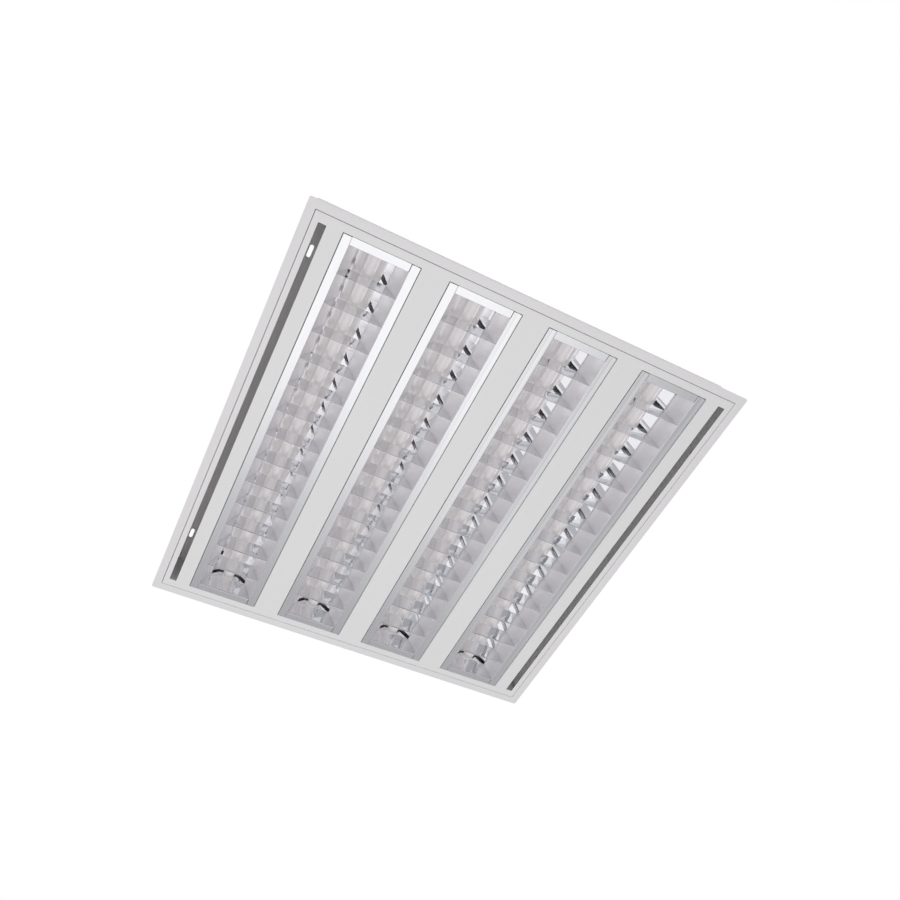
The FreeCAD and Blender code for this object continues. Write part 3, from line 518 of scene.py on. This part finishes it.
louvre = {
    "half": 48.0, "long": 275.0, "mouth": 37.2, "throat": 25.0, "high": 25.0, "curve": 54.6,
    "creasePlace": 42.6, "creaseWide": 0.5, "creaseDeep": 0.02,
    "endFace": 265.5, "endLean": 4.0, "endHigh": 34.0, "endCurve": 90.0, "endGap": (0.1, 0.9), "endLong": 275.5,
    "bend": 0.45, "bendHigh": 0.9, "bendIn": (0.12, 0.1), "notch": 10.0, "lampRise": 38.5, "archFrom": 0.55,
    "bladeCount": 13, "bladePitch": 38.2, "bladeHalf": 4.0, "bladeSkin": 0.4, "bladeCurve": 90.0,
    "bladeFloor": 0.3, "bladeEdge": 0.8, "bladeRoot": 8.0, "clear": 0.15,
    "tab": (-40.0, 2.5, 0.3, 5.6, 1.2), "tabOut": 274.4,   # tab: across, half width, foot, top, corner
}


def sideHalf(l, rise):
    # How far out the side reflector's inner face lies at a height, from its circle.
    line = arcLine((l["mouth"], 0), (l["throat"], l["high"]), l["curve"], -1, 60)
    return np.interp(rise, line[:, 1], line[:, 0])


def makeSides(l, unit):
    # Flange from the outer edge to the mouth, a small bend, then the arch up to the throat.
    x = unitMiddle(unit)
    arch = arcLine((l["mouth"], 0), (l["throat"], l["high"]), l["curve"], -1, 22)
    place, wide, deep = l["creasePlace"], l["creaseWide"], l["creaseDeep"]
    flange = np.array([(l["half"] - 0.15, 0.1), (l["half"] - 0.3, 0), (place + wide, 0), (place + wide / 3, deep),
                       (place - wide / 3, deep), (place - wide, 0), (l["mouth"] + l["bendHigh"], 0)])
    lead = arch[arch[:, 1] > l["bendHigh"]]
    bend = roundCorners([flange[-1], (l["mouth"] + l["bendIn"][0], 0), lead[0]], [l["bend"]], 6)[1:-1]
    line = np.vstack([[(l["half"], 0.25)], flange, bend, lead])
    profile = band(line, -sheet)
    stations = np.linspace(-l["long"], l["long"], 3)
    parts = [alongY(profile * (side, 1), stations, x) for side in (-1, 1)]
    middle, tabHalf, foot, high, corner = l["tab"]
    tab = roundCorners([(0, foot), (tabHalf, foot), (tabHalf, high), (-tabHalf, high), (-tabHalf, foot), (0, foot)],
                       [0, corner, corner, 0], 6)[1:]
    for end in (-1, 1):
        parts.append(alongY(tab, sorted((end * l["tabOut"], end * (l["tabOut"] - sheet))), x + middle))
    piece = makePiece(f"louvreSides{unit}", parts, finish["louvreAluminium"], f"louvre_{unit}",
                      [f"louvre_sides_{unit}"])
    secondFinish(piece, finish["archAluminium"], l["archFrom"], l["high"] + 1)


def makeEnds(l, unit):
    # Columns across the unit: each is a closed strip profile up the end wall and back down,
    # whose top follows the notch circle round the lamp.
    x0 = unitMiddle(unit)
    high, rise = l["endHigh"], l["lampRise"]
    edge = math.sqrt(l["notch"] ** 2 - (rise - high) ** 2)
    wallHalf = l["throat"] - l["clear"]
    place = np.unique(np.concatenate([np.linspace(-1, 1, 9) * wallHalf, np.linspace(-edge, edge, 25)]))
    across = place / np.abs(place).max()
    wallTop = np.where(np.abs(place) <= edge + 1e-6,
                       rise - np.sqrt(np.maximum(l["notch"] ** 2 - place ** 2, 0)), high)
    arch = arcLine((l["endFace"], 0), (l["endFace"] - l["endLean"], l["high"]), l["endCurve"], -1, 12)
    lead = arch[arch[:, 1] > l["bendHigh"]]
    bend = roundCorners([(l["endFace"] + 2, 0), (l["endFace"] + l["bendIn"][1], 0), lead[0]], [l["bend"]], 6)[1:-1]
    line = np.vstack([[(l["endLong"], 0.0), (l["endFace"] + l["bendHigh"], 0)], bend, lead, [lead[-1] + (0, 1.0)],
                      [lead[-1] + (0, 9.0)]])
    profile = band(line, -sheet)
    reach = sideHalf(l, np.clip(profile[:, 1], 0, l["high"]))
    gap = np.where(across[:, None] < 0, l["endGap"][0], l["endGap"][1])
    reach = reach[None] - np.where(profile[None, :, 0] > l["endFace"] + 0.5, gap, l["clear"])
    wall = profile[:, 1] > l["high"] + 5
    height = np.where(wall[None], wallTop[:, None], profile[None, :, 1])
    parts = []
    for end in (-1, 1):
        points = np.stack([x0 + across[:, None] * reach,
                           np.broadcast_to(end * profile[None, :, 0], height.shape), height], -1)
        count = len(profile)
        faces = [gridFaces(len(across), count, wrapCols=True), np.arange(count)[None],
                 np.arange(count)[None] + (len(across) - 1) * count]
        parts.append((points.reshape(-1, 3), faces))
    piece = makePiece(f"louvreEnds{unit}", parts, finish["louvreAluminium"], f"louvre_{unit}",
                      [f"louvre_ends_{unit}"])
    secondFinish(piece, finish["bladeAluminium"], l["archFrom"], l["endHigh"] + 1)


def makeBlades(l, unit):
    # One folded blade: a rounded lower edge, two hollow flanks that flare upwards and the fold inside.
    # Its ends follow the side reflectors, and the row is the same points moved along y.
    half, skin, low = l["bladeHalf"], l["bladeSkin"], l["bladeFloor"]
    outer = arcLine((l["bladeEdge"] / 2, low), (half, l["high"]), l["bladeCurve"], 1, 12)
    inner = arcLine((half - skin, l["high"]), (0, l["bladeRoot"]), l["bladeCurve"], -1, 8)
    flank = np.vstack([[(0.02, low), (0.14, low + 0.05)], outer[:1] + (-0.15, 0.3), outer[1:], inner])
    profile = np.vstack([flank, (flank * (-1, 1))[-2::-1]])
    reach = sideHalf(l, profile[:, 1]) - l["clear"]
    side = np.array([-1.0, 1.0])[:, None]
    one = np.stack([unitMiddle(unit) + side * reach, profile[None, :, 0] + 0 * side,
                    profile[None, :, 1] + 0 * side], -1).reshape(-1, 3)
    count = len(profile)
    faces = [gridFaces(2, count, wrapCols=True), np.arange(count)[None], np.arange(count)[None] + count]
    places = (np.arange(l["bladeCount"]) - (l["bladeCount"] - 1) / 2) * l["bladePitch"]
    row = one[None] + np.stack([0 * places, places, 0 * places], -1)[:, None]
    steps = np.arange(l["bladeCount"])[:, None, None] * len(one)
    blocks = [(block[None] + steps).reshape(-1, block.shape[1]) for block in faces]
    makePiece(f"louvreBlades{unit}", [(row.reshape(-1, 3), blocks)], finish["bladeAluminium"],
              f"louvre_{unit}", [f"louvre_blades_{unit}"])


for unit in unitNumbers:
    makeSides(louvre, unit)
    makeEnds(louvre, unit)
    makeBlades(louvre, unit)
print("louvre units made")


# Reflector over each lamp.

trough = {
    "line": [(25.0, 25.2), (24.7, 28.3), (11.2, 39.7), (0.0, 51.0)], "bends": [0.6, 6.0, 3.0], "flatEdge": 0.15,
    "mattOver": 0.4, "long": 258.0,
}


def makeTrough(t, unit):
    # A short upright edge, a flat facet that turns the light down past the lamp, then a
    # slightly steeper one up to a small bend over the lamp; the other side is the same.
    corner = np.array(t["line"])
    line = roundCorners(np.vstack([corner, (corner * (-1, 1))[-2::-1]]), t["bends"] + t["bends"][-2::-1], 7)
    line = holdFlats(line, t["flatEdge"])
    profile = band(line, -sheet)
    piece = makePiece(f"topReflector{unit}", [alongY(profile, (-t["long"], 0, t["long"]), unitMiddle(unit))],
                      finish["reflectorAluminium"], "root", [f"top_reflector_{unit}"], sharp=40)
    secondFinish(piece, finish["archAluminium"], 0, t["line"][1][1] + t["mattOver"])


for unit in unitNumbers:
    makeTrough(trough, unit)
print("reflectors made")


# Lamps.

lamp = {
    "rise": 38.5, "radius": 8.0, "glassEnd": 273.0, "capFrom": 265.5, "capTo": 274.5, "capRadius": 8.3,
    "pinHalf": 2.38, "pinRadius": 1.18, "pinEnd": 281.6,
}


def makeLamp(l, unit):
    x, z = unitMiddle(unit), l["rise"]
    tube = np.array([(0, -l["glassEnd"]), (l["radius"], -l["glassEnd"]), (l["radius"], l["glassEnd"]),
                     (0, l["glassEnd"])])
    makePiece(f"lampGlass{unit}", [latheY(tube, x, z, 64)], finish["lampGlass"], f"lamp_{unit}",
              [f"lamp_tube_{unit}"])
    # A cap is a shallow cup with a rolled edge, a crimped groove and a raised ring round the pins.
    near, far, out = l["capFrom"], l["capTo"], l["capRadius"]
    cup = roundCorners([(l["radius"] - 0.1, near), (out, near), (out, near + 2.2), (out - 0.22, near + 2.6),
                        (out - 0.22, near + 3.2), (out, near + 3.6), (out, far), (6.6, far), (6.2, far - 0.6),
                        (0, far - 0.6)], [0.15, 0.2, 0.2, 0.2, 0.2, 0.9, 0.3, 0.3], 4)
    pin = roundCorners([(0, far - 1), (l["pinRadius"], far - 1), (l["pinRadius"], l["pinEnd"]), (0, l["pinEnd"])],
                       [0, 0.7], 5)
    parts = [latheY(cup, x, z, 48)]
    parts += [latheY(pin, x + side * l["pinHalf"], z, 16) for side in (-1, 1)]
    parts += [mirrored(part, 1) for part in parts]
    makePiece(f"lampCaps{unit}", parts, finish["capAluminium"], f"lamp_{unit}", [f"lamp_caps_{unit}"])


for unit in unitNumbers:
    makeLamp(lamp, unit)
print("lamps made")


# Lampholders and cable grommet.

holder = {
    "half": 9.5, "low": 27.5, "shoulder": 5.0, "slope": 4.5, "top": 52.2, "corner": 1.0,
    "rise": 38.5, "bore": 7.5, "entry": 1.7, "face": 274.9, "boreEnd": 282.0, "back": 285.5,
}


def makeHolders(h, unit):
    # Two lengths of the same rounded outline: the front one has the entry slot and the bore
    # cut out of it (a circle about the lamp's middle), the back one is whole.
    half, low = h["half"], h["low"]
    outer = roundCorners(
        [(0, low), (half - h["slope"], low), (half, low + h["shoulder"]), (half, h["top"]), (-half, h["top"]),
         (-half, low + h["shoulder"]), (-half + h["slope"], low), (0, low)],
        [h["corner"]] * 2 + [0.3, 0.3] + [h["corner"]] * 2)
    dip = math.sqrt(h["bore"] ** 2 - h["entry"] ** 2)
    gap = math.asin(h["entry"] / h["bore"])
    spin = -math.pi / 2 + np.linspace(-gap, gap - 2 * math.pi, 49)
    bore = np.stack([h["bore"] * np.cos(spin), h["rise"] + h["bore"] * np.sin(spin)], 1)
    bore[[0, -1], 1] = h["rise"] - dip
    front = np.vstack([[(h["entry"], low)], outer[1:-1], [(-h["entry"], low)], bore])
    parts = [alongY(front, (h["face"], h["boreEnd"]), unitMiddle(unit)),
             alongY(outer[:-1], (h["boreEnd"], h["back"]), unitMiddle(unit))]
    parts += [mirrored(part, 1) for part in parts]
    makePiece(f"lampholders{unit}", parts, finish["whitePlastic"], "root", [f"lampholders_{unit}"])


for unit in unitNumbers:
    makeHolders(holder, unit)

grommet = {"place": (9.0, -222.0), "bore": 4.0, "groove": 6.45, "out": 9.1, "low": 50.0, "sheet": (52.2, 53.0),
           "high": 55.2, "round": 0.9}


def makeGrommet(g):
    # A rubber ring with rounded lips and a groove that holds the edge of the sheet.
    under, over = g["sheet"]
    ring = roundCorners(
        [(g["bore"], 51.5), (g["bore"], g["low"]), (g["out"], g["low"]), (g["out"], under), (g["groove"], under),
         (g["groove"], over), (g["out"], over), (g["out"], g["high"]), (g["bore"], g["high"]), (g["bore"], 51.5)],
        [g["round"], g["round"], 0.3, 0.1, 0.1, 0.3, g["round"], g["round"]], 6)
    makePiece("cableGrommet", [latheZ(ring, *g["place"], 56)], finish["blackRubber"], "root",
              ["cable_grommet"])


makeGrommet(grommet)
print("lampholders and grommet made")


# The small parts keep their solids and take a finish.

slotFinish = {
    "duct_paint": "ductPaint", "zinc_steel": "zincSteel", "board": "boardGreen", "white_plastic": "whitePlastic",
    "brass": "brass", "rubber": "blackRubber", "wire_cover": "wireCover", "rotor_plastic": "rotorPlastic",
    "tray_paint": "trayPaint", "face_paint": "facePaint", "reflector": "reflectorAluminium",
    "louvre": "louvreAluminium", "lamp_glass": "lampGlass", "lamp_cap": "capAluminium",
}
for part in frame["record"]["subparts"]:
    mesh = nodes[part["node"]].data
    mesh.materials.clear()
    mesh.materials.append(finish[slotFinish[part["material_slot"]]])
print("finishes given to the parts")
